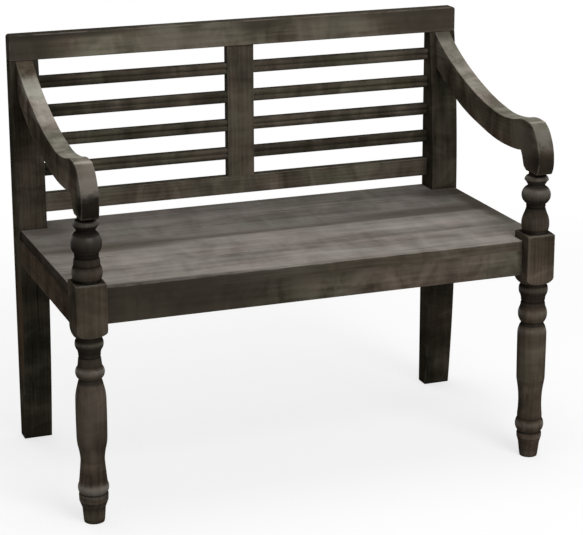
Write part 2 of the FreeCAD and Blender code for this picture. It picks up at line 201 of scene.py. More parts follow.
def woodMaterial(name, **changes):
    look = {**woodSettings, **changes}
    material, tree = freshMaterial(name)
    axis, grime = look["axis"], tone(*look["grime"])
    coords = addNode(tree, "TexCoord")
    shift = addNode(tree, "Attribute", attribute_name="grainShift")
    place = vectorCalc(tree, "ADD", coords.outputs["Object"], shift.outputs["Vector"]).outputs[0]

    def grain(kind):
        along, across, *shape = grainPatterns[kind]
        return noise(tree, stretched(tree, place, axis, along, across), *shape)

    def times(*values):
        product = values[0]
        for value in values[1:]:
            product = calc(tree, "MULTIPLY", product, value)
        return product

    # patterns, all drawn out along the grain but the mottle
    broad, streak, fibre, mottle = grain("broad"), grain("streak"), grain("fibre"), grain("mottle")
    ringInputs = {"Vector": stretched(tree, place, axis, *ringStretch), "Scale": look["ringScale"], **ringPattern}
    ringKind = {"wave_type": "RINGS", "rings_direction": axis, "wave_profile": "SIN"}
    rings = addNode(tree, "TexWave", ringInputs, **ringKind).outputs["Fac"]

    share = times(broad, look["broad"])
    for pattern, weight in ((streak, look["streak"]), (fibre, look["fibre"]), (rings, look["rings"])):
        share = calc(tree, "MULTIPLY_ADD", pattern, weight, share)
    share = calc(tree, "MULTIPLY_ADD", calc(tree, "SUBTRACT", mottle, 0.5), look["mottle"] * 2, share)
    shade = ramp(tree, share, 0.5 - look["contrast"], 0.5 + look["contrast"], smooth=False)
    colour = palette(tree, shade, look["body"])

    # upward faces are rubbed pale or weathered dark
    facing = addNode(tree, "SeparateXYZ", {0: coords.outputs["Normal"]})
    spot = addNode(tree, "SeparateXYZ", {0: coords.outputs["Object"]})
    up = ramp(tree, facing.outputs["Z"], *fades["upward"])
    if look["top"]:
        fade = ramp(tree, spot.outputs["Z"], *look["topFade"], 1.0, 0.0)
        colour = blendColour(tree, times(up, fade), colour, palette(tree, shade, look["top"]))
    if look["topDark"]:
        colour = blendColour(tree, times(up, look["topDark"]), colour, grime)
    # faces to the left and right painted darker: painted shade on the sides
    if look["sideDark"]:
        sideways = calc(tree, "ABSOLUTE", facing.outputs["X"])
        colour = blendColour(tree, ramp(tree, sideways, *fades["sideways"], 0.0, look["sideDark"]), colour, grime)

    # a little green and a little red in the grey, as old wood has, and each board's own tone
    red, green = look["tints"]
    tintColour = blendColour(tree, ramp(tree, grain("tint"), *fades["tint"]), tone(*red), tone(*green))
    colour = blendColour(tree, look["tint"], colour, tintColour, "MULTIPLY")
    toned = addNode(tree, "Attribute", attribute_name="boardTone")
    colour = blendColour(tree, 1.0, colour, toned.outputs["Color"], "MULTIPLY")

    # patches with ragged rims: weathered stains, and painted shade and painted highlights where noted
    for middle, reach, patchTone, amount in look["patches"]:
        offset = coords.outputs["Object"]
        for operation, size in (("SUBTRACT", middle), ("DIVIDE", reach)):
            offset = vectorCalc(tree, operation, offset, [v * mm for v in size]).outputs[0]
        away = vectorCalc(tree, "LENGTH", offset).outputs["Value"]
        ragged = calc(tree, "MULTIPLY_ADD", calc(tree, "ADD", mottle, streak), -look["patchRagged"], away)
        colour = blendColour(tree, ramp(tree, ragged, *fades["patchRim"], amount, 0.0), colour, tone(*patchTone))

    # edges rubbed by hands and cloth, but not everywhere
    rubbed = addNode(tree, "Attribute", attribute_name="wornEdge").outputs["Fac"]
    where = ramp(tree, grain("wear"), *fades["wear"])
    colour = blendColour(tree, times(rubbed, where, look["edgeWear"]), colour, tone(*look["edge"]))

    # turned parts: painted shade in the grooves and on undersides, painted highlight and wear on the crowns, less of it
    # on the spindles above
    gloss = look["gloss"]
    if look["turned"]:
        relief = addNode(tree, "Attribute", attribute_name="relief").outputs["Fac"]
        fadeLow, fadeHigh, fadeTo = look["crownFade"]
        # the crowns' upper faces: painted highlight and wear
        crownHighlightAndWear = times(
            ramp(tree, relief, *fades["crownHighlightAndWear"]), calc(tree, "MULTIPLY_ADD", where, 0.5, 0.5),
            ramp(tree, facing.outputs["Z"], *fades["crownUp"]),
            ramp(tree, spot.outputs["Z"], fadeLow, fadeHigh, 1.0, fadeTo),
        )
        colour = blendColour(tree, times(crownHighlightAndWear, look["turned"]), colour, tone(*look["edge"]))
        # painted shade in the grooves
        colour = blendColour(tree, ramp(tree, relief, *fades["groove"], look["groove"], 0.0), colour, grime)
        # painted shade on the undersides of the beads
        downward = ramp(tree, facing.outputs["Z"], *fades["underside"], look["groove"], 0.0)
        colour = blendColour(tree, times(downward, ramp(tree, relief, *fades["undersideBead"])), colour, grime)
        gloss = times(crownHighlightAndWear, look["gloss"])

    # drying checks: thin dark lines that run with the grain
    checkLine = ramp(tree, grain("checkLine"), *fades["checkLine"], 1.0, 0.0)
    check = times(checkLine, ramp(tree, grain("checkPlace"), *fades["checkPlace"]), look["checks"])
    colour = blendColour(tree, check, colour, grime)

    # painted shade in corners and along joints, darker where the spot is less open
    reach, samples = look["cornerReach"], look["cornerSamples"]
    openness = addNode(tree, "AmbientOcclusion", {"Distance": reach}, samples=samples).outputs["AO"]
    cornerShade = times(ramp(tree, openness, *fades["corner"], 1.0, 0.0), look["corners"])
    colour = blendColour(tree, cornerShade, colour, grime)

    height = times(fibre, look["fibreHeight"])
    for pattern, weight in ((streak, look["streakHeight"]), (rings, look["ringHeight"]), (check, -look["checkDepth"])):
        height = calc(tree, "MULTIPLY_ADD", pattern, weight, height)
    bumpInputs = {"Strength": look["bump"], "Distance": look["bumpDepth"], "Height": height}
    bump = addNode(tree, "Bump", bumpInputs).outputs[0]
    smoother, rougher = (look["roughness"] + spread for spread in look["roughnessSpread"])
    rough = ramp(tree, calc(tree, "ADD", streak, fibre), *fades["roughness"], smoother, rougher, smooth=False)
    surface = {"Base Color": colour, "Roughness": rough, "Normal": bump, "Specular IOR Level": gloss}
    addNode(tree, "OutputMaterial", {"Surface": addNode(tree, "BsdfPrincipled", surface).outputs[0]})
    return material


legWood = woodMaterial(
    "legWood", axis="Z", body=((44, 39, 33), (66, 59, 51), (90, 82, 72)), edge=(116, 111, 104), grime=(19, 17, 14),
    cornerReach=0.016, corners=0.8, gloss=0.22, roughness=0.38, sideDark=0.06, edgeWear=0.45,
    turned=0.48, crownFade=(0.47, 0.50, 0.42), groove=0.65,
    patches=[
        # the upper spindles darker: painted shade under the arms
        ((460, -222, 548), (70, 70, 70), (46, 43, 38), 0.50), ((-460, -222, 556), (70, 70, 78), (32, 30, 27), 0.80),
        ((460, -222, 215), (60, 60, 120), (88, 80, 70), 0.35), ((-460, -222, 225), (60, 60, 130), (88, 80, 71), 0.55),
        # the first beads darker: painted shadow under the blocks
        ((460, -222, 345), (60, 60, 34), (30, 27, 23), 0.65), ((-460, -222, 345), (60, 60, 34), (30, 28, 24), 0.75),
        # pale spots on the left foot bead and the right ball: painted highlights
        ((-460, -222, 68), (60, 60, 16), (116, 110, 102), 0.7), ((460, -222, 558), (40, 40, 22), (86, 81, 75), 0.5),
        ((-460, -252, 425), (40, 8, 50), (58, 51, 45), 0.45),
        ((460, -250, 477), (40, 10, 5), (112, 106, 98), 0.5), ((-460, -250, 477), (40, 10, 5), (100, 95, 88), 0.5),
    ],
)
postWood = woodMaterial(
    "postWood", axis="Z", body=((34, 31, 26), (50, 46, 39), (70, 65, 57)), edge=(74, 69, 61), grime=(20, 18, 15),
    sideDark=0.05,
    patches=[
        ((-460, 215, 775), (70, 70, 60), (62, 58, 50), 0.6), ((-491, 225, 250), (5, 60, 120), (74, 57, 43), 0.6),
        ((420, 200, 300), (14, 60, 110), (62, 48, 40), 0.35),
    ],
)
armWood = woodMaterial(
    "armWood", axis="Y", body=((52, 46, 39), (76, 69, 60), (100, 92, 83)), edge=(128, 122, 113), edgeWear=0.22,
    top=((90, 86, 79), (118, 114, 107), (140, 136, 130)), topFade=(0.750, 0.795),
    broad=0.62, streak=0.18, fibre=0.12, rings=0.03, mottle=0.40, checks=0.35,
    patches=[
        ((460, -256, 680), (40, 34, 34), (106, 102, 95), 0.70), ((-460, -256, 664), (40, 34, 34), (104, 99, 92), 0.85),
        ((460, -238, 716), (50, 34, 24), (146, 141, 132), 0.75), ((-460, -246, 704), (50, 34, 26), (80, 75, 68), 0.65),
        ((460, 130, 800), (50, 110, 60), (140, 135, 126), 0.5), ((440, -205, 655), (14, 60, 60), (88, 81, 71), 0.6),
        # the noses darker low down: painted shade
        ((460, -262, 622), (60, 60, 28), (34, 30, 25), 0.8), ((-460, -262, 622), (60, 60, 30), (22, 19, 16), 0.95),
        # pale streaks along the left arm's worn top edge: painted highlight
        ((-460, 150, 768), (40, 66, 27), (200, 196, 186), 0.24), ((-460, 62, 736), (40, 62, 24), (196, 192, 182), 0.22),
        ((460, 240, 802), (60, 34, 26), (62, 58, 51), 0.75),
        # a thin pale line along the crease of each nose: painted highlight
        ((460, -218, 701), (60, 7, 6), (196, 190, 180), 0.22), ((-460, -218, 701), (60, 7, 6), (196, 190, 180), 0.30),
    ],
)
topRailWood = woodMaterial(
    "topRailWood", axis="X", body=((62, 57, 49), (92, 86, 76), (116, 110, 99)), topDark=0.85, grime=(44, 41, 36),
    patches=[
        ((-470, 231, 835), (110, 60, 60), (50, 46, 39), 0.85), ((40, 231, 850), (60, 60, 22), (52, 47, 41), 0.8),
        ((440, 231, 840), (150, 60, 50), (54, 49, 42), 0.8), ((260, 231, 856), (260, 60, 16), (60, 56, 48), 0.6),
        ((-360, 231, 857), (200, 60, 13), (44, 41, 36), 0.8), ((-130, 231, 828), (130, 60, 34), (116, 110, 100), 0.45),
        ((190, 231, 826), (120, 60, 30), (106, 100, 89), 0.40),
    ],
)
railWood = woodMaterial("railWood", axis="X", body=((52, 48, 42), (78, 73, 65), (100, 94, 85)), topDark=0.6)
mullionWood = woodMaterial("mullionWood", axis="Z", body=((46, 42, 37), (65, 60, 53), (85, 79, 70)))
slatWood = woodMaterial(
    "slatWood", axis="X", body=((44, 41, 34), (64, 60, 52), (86, 81, 72)), topDark=0.6, cornerReach=0.045,
    # the left slats' outer ends darker next to the post: painted shade
    patches=[((-412, 231, 660), (34, 60, 300), (34, 32, 26), 0.7)],
)
apronWood = woodMaterial(
    "apronWood", axis="X", body=((52, 47, 41), (78, 72, 64), (98, 91, 82)), mottle=0.4, corners=0.35,
    patches=[
        ((-330, -226, 417), (280, 60, 60), (46, 42, 35), 0.8), ((-60, -226, 445), (260, 60, 22), (52, 47, 41), 0.5),
    ],
)
sideApronWood = woodMaterial("sideApronWood", axis="Y", body=((48, 42, 35), (66, 58, 49), (88, 79, 69)))
seatWood = woodMaterial(
    "seatWood", axis="X", body=((48, 43, 37), (69, 63, 55), (90, 83, 75)), edge=(112, 107, 101), grime=(48, 43, 37),
    top=((92, 87, 82), (117, 112, 107), (136, 131, 126)),
    # the boards' ends painted darker: painted shade
    mottle=0.2, corners=0.35, sideDark=0.6, edgeWear=0.3, tint=0.45,
    patches=[
        ((-340, 22, 462), (170, 34, 30), (66, 60, 52), 0.7), ((340, 48, 462), (190, 28, 30), (68, 62, 55), 0.7),
        # the band along the seat's right end is a painted shadow of the right arm
        ((0, 26, 462), (560, 15, 30), (74, 68, 60), 0.5), ((476, 60, 462), (30, 200, 30), (62, 56, 49), 0.8),
        # the rear corners by the posts darker: painted shade
        ((440, 172, 462), (70, 46, 30), (54, 49, 43), 0.75), ((-440, 176, 462), (60, 40, 30), (60, 54, 47), 0.6),
        ((-330, -228, 450), (260, 20, 40), (46, 42, 36), 0.85),
    ],
)
hiddenTones = ((72, 60, 47), (98, 84, 67), (122, 107, 88))
hiddenWood = woodMaterial("hiddenWood", axis="Y", body=hiddenTones, mottle=0.15)
hiddenWoodAcross = woodMaterial("hiddenWoodAcross", axis="X", body=hiddenTones, mottle=0.15)

steelSettings = {
    "clean": (128, 124, 116),
    "tarnished": (98, 89, 78),
    "spotScale": 900,
    "spotDetail": 3.0,
    "spotRoughness": 0.6,
    "spotRim": (0.35, 0.65),
    "roughnessFade": (0.3, 0.7, 0.32, 0.60),
    "metallic": 0.9,
}


def steelMaterial(name):
    # dull zinc-plated steel, darker and rougher where it has tarnished
    s = steelSettings
    material, tree = freshMaterial(name)
    place = addNode(tree, "TexCoord").outputs["Object"]
    fine = addNode(tree, "Mapping", {"Vector": place, "Scale": [s["spotScale"]] * 3}).outputs[0]
    spots = noise(tree, fine, s["spotDetail"], s["spotRoughness"])
    colour = blendColour(tree, ramp(tree, spots, *s["spotRim"]), tone(*s["clean"]), tone(*s["tarnished"]))
    surface = {"Base Color": colour, "Roughness": ramp(tree, spots, *s["roughnessFade"]), "Metallic": s["metallic"]}
    addNode(tree, "OutputMaterial", {"Surface": addNode(tree, "BsdfPrincipled", surface).outputs[0]})
    return material


screwSteel = steelMaterial("screwSteel")
print("wood and steel finishes made")


# ---- small modelling helpers

modelSettings = {
    "easedFrom": 30,            # degrees from which an edge is eased
    "easedSteps": 3,
    "sharpFrom": 38,            # degrees from which two faces keep a crisp line between them
    "shadingWeight": 60,
    "alongFrom": 0.9,           # how nearly an edge must point along an axis to count as running along it
    "grainShift": 3,            # metres, how far apart the pieces' patterns may lie
}


def edgesSharperThan(bm, degrees, keep=None):
    limit = math.radians(degrees)
    found = []
    for edge in bm.edges:
        if len(edge.link_faces) == 2 and edge.calc_face_angle(0.0) > limit:
            if keep is None or keep(edge):
                found.append(edge)
    return found


def roundOver(bm, edges, width, steps):
    made = bmesh.ops.bevel(
        bm, geom=edges, offset=width, offset_type="OFFSET", segments=steps, profile=0.5,
        affect="EDGES", clamp_overlap=True, material=-1,
    )
    return made["faces"]


def easeEdges(bm, width, keep=None, steps=modelSettings["easedSteps"], degrees=modelSettings["easedFrom"]):
    # rounds edges over, and marks the new faces as rubbed
    worn = bm.faces.layers.float.get("wornEdge") or bm.faces.layers.float.new("wornEdge")
    for face in roundOver(bm, edgesSharperThan(bm, degrees, keep), width, steps):
        face[worn] = 1.0


def finishPiece(bm, name, standsFor, material, boardTone=1.0, sharpFrom=modelSettings["sharpFrom"]):
    bmesh.ops.remove_doubles(bm, verts=bm.verts, dist=dust)
    bmesh.ops.recalc_face_normals(bm, faces=bm.faces)
    if not bm.faces.layers.float.get("wornEdge"):
        bm.faces.layers.float.new("wornEdge")
    shift = bm.verts.layers.float_vector.new("grainShift")
    farthest = modelSettings["grainShift"]
    offset = Vector([picker.uniform(-farthest, farthest) for _ in range(3)])
    for vert in bm.verts:
        vert[shift] = offset
    shade = bm.faces.layers.float.new("boardTone")
    for face in bm.faces:
        face[shade] = boardTone
        face.smooth = True
    mesh = bpy.data.meshes.new(name)
    bm.to_mesh(mesh)
    bm.free()
    mesh.set_sharp_from_angle(angle=math.radians(sharpFrom))
    piece = bpy.data.objects.new(name, mesh)
    bpy.context.scene.collection.objects.link(piece)
    mesh.materials.append(material)
    even = piece.modifiers.new("evenShading", "WEIGHTED_NORMAL")
    even.weight = modelSettings["shadingWeight"]
    even.keep_sharp = True
    if standsFor:
        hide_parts(*standsFor)
    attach(piece, "root")
    return piece


def boxBetween(bm, low, high):
    made = bmesh.ops.create_cube(bm, size=1.0)
    size = Vector(high) - Vector(low)
    middle = (Vector(high) + Vector(low)) / 2
    bmesh.ops.scale(bm, vec=size, verts=made["verts"])
    bmesh.ops.translate(bm, vec=middle, verts=made["verts"])


def vertsOf(grown):
    return [g for g in grown["geom"] if isinstance(g, bmesh.types.BMVert)]


def slabFrom(bm, corners, sweep):
    # a flat outline drawn out into a solid
    face = bm.faces.new([bm.verts.new(corner) for corner in corners])
    grown = bmesh.ops.extrude_face_region(bm, geom=[face])
    bmesh.ops.translate(bm, vec=sweep, verts=vertsOf(grown))
    bmesh.ops.recalc_face_normals(bm, faces=bm.faces)


def cutBy(bm, place, way, closeness, **options):
    # lays a cut through the whole piece, at a right angle to the way given
    everything = bm.verts[:] + bm.edges[:] + bm.faces[:]
    return bmesh.ops.bisect_plane(bm, geom=everything, dist=closeness, plane_co=place, plane_no=way, **options)


def spunRound(bm, verts, centre, steps, closeness):
    # spins a row of points round an upright axis and closes the seam
    edges = [bm.edges.new(pair) for pair in zip(verts, verts[1:])]
    bmesh.ops.spin(bm, geom=verts + edges, cent=centre, axis=alongZ, angle=turn, steps=steps, use_merge=True)
    bmesh.ops.remove_doubles(bm, verts=bm.verts, dist=closeness)


def arcThrough(start, middle, end, steps):
    # points on the round arc through three points, the first left out
    a, b, c = Vector(start), Vector(middle), Vector(end)
    cross = 2 * ((b - a).x * (c - a).y - (b - a).y * (c - a).x)
    ab, ac = (b - a).length_squared, (c - a).length_squared
    ux = ((c - a).y * ab - (b - a).y * ac) / cross
    uy = ((b - a).x * ac - (c - a).x * ab) / cross
    centre = a + Vector((ux, uy))
    radius = math.hypot(ux, uy)
    first, last = math.atan2(-uy, -ux), math.atan2(c.y - centre.y, c.x - centre.x)
    halfway = math.atan2(b.y - centre.y, b.x - centre.x)
    sweep = (last - first) % turn
    if (halfway - first) % turn > sweep:
        sweep -= turn
    angles = [first + sweep * i / steps for i in range(1, steps + 1)]
    return [(centre.x + radius * math.cos(angle), centre.y + radius * math.sin(angle)) for angle in angles]


def runsAlong(axis):
    # picks the edges that run along one axis, so that shoulders stay square and tight
    index = "XYZ".index(axis)

    def test(edge):
        way = (edge.verts[0].co - edge.verts[1].co).normalized()
        return abs(way[index]) > modelSettings["alongFrom"]

    return test


def reachesUpTo(edge, height):
    return all(v.co.z > height - hair for v in edge.verts)


# sizes that several pieces share, read off the frame
legLow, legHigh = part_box("front_leg_right")
postLow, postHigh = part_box("rear_post_right")
railLow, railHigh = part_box("top_rail")
blankHalf = (legHigh.x - legLow.x) / 2
legX, legY = (legHigh.x + legLow.x) / 2, (legHigh.y + legLow.y) / 2
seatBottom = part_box("seat_board_2")[0].z


# ---- front legs

legSettings = {
    "steps": 72,
    "arcSteps": 9,
    "lowerHeight": 373 * mm,
    "blockTop": 476.5 * mm,
    "spindleTop": 601 * mm,
    "shoulderRadius": 28.2 * mm,
    "bottomShoulder": 20 * mm,
    "topShoulder": 2 * mm,
    "cornerRoom": 1.006,        # the turned outline passes just outside the block's corners
    "edge": 1.4 * mm,
    "edgeSteps": 2,
    "easedFrom": 12,            # degrees
    "reliefReach": 12 * mm,
    "reliefSteps": (-1.0, -0.66, -0.33, 0.33, 0.66, 1.0),
    "reliefDepth": 2.2 * mm,
    # rise and radius of each point, as shares of the turned length and of half the blank, and of the middle
    # and end of each arc where two points stand together; turned by hand, so the legs differ a little
    "lowerLeft": [
        (0.0, 0.66), (0.015, 0.69), (0.078, 0.755), ((0.099, 0.850), (0.118, 0.940)), (0.151, 0.955),
        (0.154, 0.900), (0.161, 0.900), ((0.180, 0.998), (0.207, 0.955)), (0.211, 0.925),
        ((0.259, 0.862), (0.334, 0.780)), ((0.376, 0.828), (0.408, 0.910)), ((0.429, 0.958), (0.459, 0.985)),
        ((0.568, 0.998), (0.667, 0.988)), ((0.702, 0.940), (0.729, 0.860)), (0.758, 0.775), (0.762, 0.735),
        (0.771, 0.735), (0.775, 0.790), ((0.803, 0.940), (0.835, 0.800)), (0.840, 0.780), (0.880, 0.725),
        (0.883, 0.690), (0.890, 0.690), (0.893, 0.715), ((0.908, 0.725), (0.925, 0.785)),
        ((0.949, 0.915), (0.972, 0.885)), (0.976, 0.840), (0.990, 0.840), (1.0, 0.930),
    ],
    "lowerRight": [
        (0.0, 0.60), (0.013, 0.635), (0.080, 0.735), ((0.096, 0.790), (0.112, 0.855)), (0.134, 0.860),
        (0.138, 0.800), (0.146, 0.800), (0.151, 0.850), ((0.189, 0.988), (0.217, 0.880)), (0.222, 0.855),
        (0.244, 0.852), ((0.324, 0.800), (0.382, 0.840)), ((0.416, 0.902), (0.450, 0.972)),
        ((0.563, 0.990), (0.704, 0.998)), ((0.732, 0.962), (0.760, 0.830)), (0.764, 0.775), (0.774, 0.775),
        (0.779, 0.830), ((0.820, 0.998), (0.859, 0.885)), (0.865, 0.860), (0.886, 0.820), (0.889, 0.780),
        (0.896, 0.780), (0.899, 0.818), ((0.914, 0.835), (0.930, 0.895)), ((0.958, 0.998), (0.980, 0.955)),
        (0.983, 0.900), (0.994, 0.900), (1.0, 0.950),
    ],
    "upperLeft": [
        (0.0, 0.80), ((0.125, 0.985), (0.236, 0.880)), (0.240, 0.835), (0.248, 0.835),
        ((0.300, 0.845), (0.362, 0.775)), (0.366, 0.725), (0.380, 0.725), (0.384, 0.770), (0.436, 0.775),
        ((0.605, 0.995), (0.766, 0.650)), (0.771, 0.600), (0.785, 0.600), ((0.830, 0.720), (0.864, 0.840)),
        ((0.905, 0.800), (0.944, 0.620)), (0.954, 0.550), (1.0, 0.540),
    ],
    "upperRight": [
        (0.0, 0.83), ((0.160, 0.950), (0.285, 0.835)), ((0.350, 0.725), (0.408, 0.655)), (0.412, 0.610),
        (0.426, 0.610), (0.430, 0.655), (0.480, 0.660), ((0.625, 0.992), (0.765, 0.630)), (0.771, 0.585),
        (0.785, 0.585), ((0.832, 0.690), (0.868, 0.820)), ((0.908, 0.770), (0.944, 0.590)), (0.954, 0.545),
        (1.0, 0.540),
    ],
}


def turnedOutline(shares, bottom, length, arcSteps):
    spots = []
    for step in shares:
        isArc = isinstance(step[0], tuple)
        places = [(share * blankHalf, bottom + rise * length) for rise, share in (step if isArc else [step])]
        spots += arcThrough(spots[-1], *places, arcSteps) if isArc else places
    return spots


def reliefAt(outline, level):
    # how far the turned surface stands out from what is just above and below it: -1 in a groove, 1 on a bead
    heights = [height for _, height in outline]

    def radiusAt(height):
        index = min(max(bisect.bisect_left(heights, height), 1), len(outline) - 1)
        (r0, z0), (r1, z1) = outline[index - 1], outline[index]
        share = 0.0 if z1 - z0 < mote else min(max((height - z0) / (z1 - z0), 0.0), 1.0)
        return min(r0 + (r1 - r0) * share, blankHalf)

    s = legSettings
    around = [radiusAt(level + s["reliefReach"] * step) for step in s["reliefSteps"]]
    return max(-1.0, min(1.0, (radiusAt(level) - sum(around) / len(around)) / s["reliefDepth"]))


def frontLeg(side, name):
    s = legSettings
    which = "Right" if side > 0 else "Left"
    corner = math.hypot(blankHalf, blankHalf) * s["cornerRoom"]
    outline = turnedOutline(s["lower" + which], 0.0, s["lowerHeight"], s["arcSteps"])
    # a quarter round leads up to the block, and the middle of its bow lies this share of the way
    bow = math.sqrt(0.5)
    low = (s["shoulderRadius"], s["lowerHeight"])
    lowEnd = (corner, s["lowerHeight"] + s["bottomShoulder"])
    bulge = (low[0] + (corner - low[0]) * bow, low[1] + s["bottomShoulder"] * (1 - bow))
    outline += [low] + arcThrough(low, bulge, lowEnd, s["arcSteps"])
    outline += [(corner, s["blockTop"] - s["topShoulder"]), (s["shoulderRadius"], s["blockTop"])]
    outline += turnedOutline(s["upper" + which], s["blockTop"], s["spindleTop"] - s["blockTop"], s["arcSteps"])
    bm = bmesh.new()
    centre = Vector((side * legX, legY, 0))
    closed = [(0.0, 0.0)] + outline + [(0.0, s["spindleTop"])]
    verts = [bm.verts.new((side * legX + radius, legY, z)) for radius, z in closed]
    spunRound(bm, verts, centre, s["steps"], dust)
    bmesh.ops.dissolve_degenerate(bm, dist=speck, edges=bm.edges)
    bmesh.ops.recalc_face_normals(bm, faces=bm.faces)
    # the block's four flat sides
    for way in (alongX, -alongX, alongY, -alongY):
        cut = cutBy(bm, centre + way * blankHalf, way, dust, clear_outer=True)
        rim = [g for g in cut["geom_cut"] if isinstance(g, bmesh.types.BMEdge) and g.is_boundary]
        bmesh.ops.holes_fill(bm, edges=rim, sides=0)
    bmesh.ops.recalc_face_normals(bm, faces=bm.faces)

    def onBlock(edge):
        return all(max(abs(v.co.x - centre.x), abs(v.co.y - centre.y)) > blankHalf - hair for v in edge.verts)

    easeEdges(bm, s["edge"], onBlock, s["edgeSteps"], s["easedFrom"])
    relief = bm.verts.layers.float.new("relief")
    for vert in bm.verts:
        onTurning = not s["lowerHeight"] + hair < vert.co.z < s["blockTop"] - hair
        vert[relief] = reliefAt(outline, vert.co.z) if onTurning else 0.0
    return finishPiece(bm, name, [name.replace("turned_", "")], legWood)


frontLeg(-1, "turned_front_leg_left")
frontLeg(1, "turned_front_leg_right")
print("front legs turned")


# ---- rear posts

postSettings = {
    "levels": 30,
    "seatDepth": 57 * mm,
    "topDepth": 31 * mm,
    "footDepth": 33 * mm,
    "bendLow": 390 * mm,
    "bendHigh": 462 * mm,
    "top": 806 * mm,
    "edge": 2.0 * mm,
}


def sweepOffset(run, rise, height):
    # how far a round sweep has moved back at some height from where it left the upright
    radius = (rise ** 2 + run ** 2) / (2 * run)
    return radius - math.sqrt(radius ** 2 - height ** 2)


def postFront(z):
    s = postSettings
    front = postHigh.y - s["seatDepth"]
    if z > s["bendHigh"]:
        return front + sweepOffset(s["seatDepth"] - s["topDepth"], s["top"] - s["bendHigh"], z - s["bendHigh"])
    if z < s["bendLow"]:
        return front + sweepOffset(s["seatDepth"] - s["footDepth"], s["bendLow"], s["bendLow"] - z)
    return front


def rearPost(side, name):
    s = postSettings
    bm = bmesh.new()
    xs = sorted((side * postLow.x, side * postHigh.x))
    boxBetween(bm, (xs[0], postHigh.y - s["seatDepth"], 0.0), (xs[1], postHigh.y, s["top"]))
    for level in [s["top"] * i / s["levels"] for i in range(1, s["levels"])] + [s["bendLow"], s["bendHigh"]]:
        cutBy(bm, (0, 0, level), alongZ, hair)
    middle = postHigh.y - s["seatDepth"] / 2
    for vert in bm.verts:
        if vert.co.y < middle:
            vert.co.y = postFront(vert.co.z)
    # every edge but those round the top, which lies tight under the rail
    easeEdges(bm, s["edge"], lambda edge: min(v.co.z for v in edge.verts) < s["top"] - mm)
    return finishPiece(bm, name, [name.replace("swept_", "")], postWood)


rearPost(-1, "swept_rear_post_left")
rearPost(1, "swept_rear_post_right")
print("rear posts sawn")


# ---- back: top rail, lower rail, mullion and slats

backSettings = {
    "railCorner": 6 * mm,
    "railCornerSteps": 6,
    "railEdge": 2.2 * mm,
    "lowerRailEdge": 1.6 * mm,
    "mullionEdge": 1.4 * mm,
    "slatEdge": 0.9 * mm,
    "slatEdgeSteps": 2,
    "reedDepth": 2.6 * mm,
    "reedSteps": 7,
    "slatHeight": 24.5 * mm,
    "slatDepth": 17 * mm,
    "thickness": 22 * mm,
    "bite": 1.0 * mm,       # how far a shoulder is let into its neighbour
    "slatTones": {"left": [0.92, 0.90, 0.95, 0.82], "right": [0.94, 1.20, 0.90, 0.97]},
}
railMiddle = (railLow.y + railHigh.y) / 2
boardFront, boardRear = (railMiddle + way * backSettings["thickness"] / 2 for way in (-1, 1))


def topRail():
    s = backSettings
    bm = bmesh.new()
    boxBetween(bm, railLow, railHigh)
    above = [edge for edge in bm.edges if reachesUpTo(edge, railHigh.z)]
    ends = [edge for edge in above if abs(edge.verts[0].co.x - edge.verts[1].co.x) < hair]
    roundOver(bm, ends, s["railCorner"], s["railCornerSteps"])
    easeEdges(bm, s["railEdge"])
    return finishPiece(bm, "back_top_rail", ["top_rail"], topRailWood)


def lowerRail():
    s = backSettings
    low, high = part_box("lower_back_rail")
    bm = bmesh.new()
    reach = postLow.x + s["bite"]
    boxBetween(bm, (-reach, boardFront, low.z), (reach, boardRear, high.z))
    easeEdges(bm, s["lowerRailEdge"], runsAlong("X"))
    return finishPiece(bm, "back_lower_rail", ["lower_back_rail"], railWood)


def mullion():
    s = backSettings
    low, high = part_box("centre_mullion")
    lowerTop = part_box("lower_back_rail")[1].z
    bm = bmesh.new()
    boxBetween(bm, (low.x, boardFront, lowerTop - s["bite"]), (high.x, boardRear, railLow.z + s["bite"]))
    easeEdges(bm, s["mullionEdge"], runsAlong("Z"))
    return finishPiece(bm, "back_mullion", ["centre_mullion"], mullionWood)


def backSlat(sideName, number):
    s = backSettings
    node = "back_slat_" + sideName + "_" + str(number)
    low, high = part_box(node)
    middle = (low.z + high.z) / 2
    half = s["slatHeight"] / 2
    front, rear = railMiddle - s["slatDepth"] / 2, railMiddle + s["slatDepth"] / 2
    groove = front + s["reedDepth"]
    profile = [(groove, middle + half)]
    profile += arcThrough(profile[-1], (front, middle + half / 2), (groove, middle), s["reedSteps"])
    profile += arcThrough(profile[-1], (front, middle - half / 2), (groove, middle - half), s["reedSteps"])
    profile += [(rear, middle - half), (rear, middle + half)]
    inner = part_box("centre_mullion")[1].x - s["bite"]
    outer = postLow.x + s["bite"]
    start, end = (-outer, -inner) if sideName == "left" else (inner, outer)
    bm = bmesh.new()
    slabFrom(bm, [(start, y, z) for y, z in profile], alongX * (end - start))
    lengthways = runsAlong("X")

    def outside(edge):
        # the corners of the slat, and not the groove between its reeds
        return lengthways(edge) and abs(edge.verts[0].co.z - middle) > half - hair

    easeEdges(bm, s["slatEdge"], outside, s["slatEdgeSteps"])
    return finishPiece(bm, "reeded_" + node, [node], slatWood, s["slatTones"][sideName][number - 1])


topRail()
lowerRail()
mullion()
for sideName in ("left", "right"):
    for number in range(1, 5):
        backSlat(sideName, number)
print("back framed, with its slats")


# ---- arms

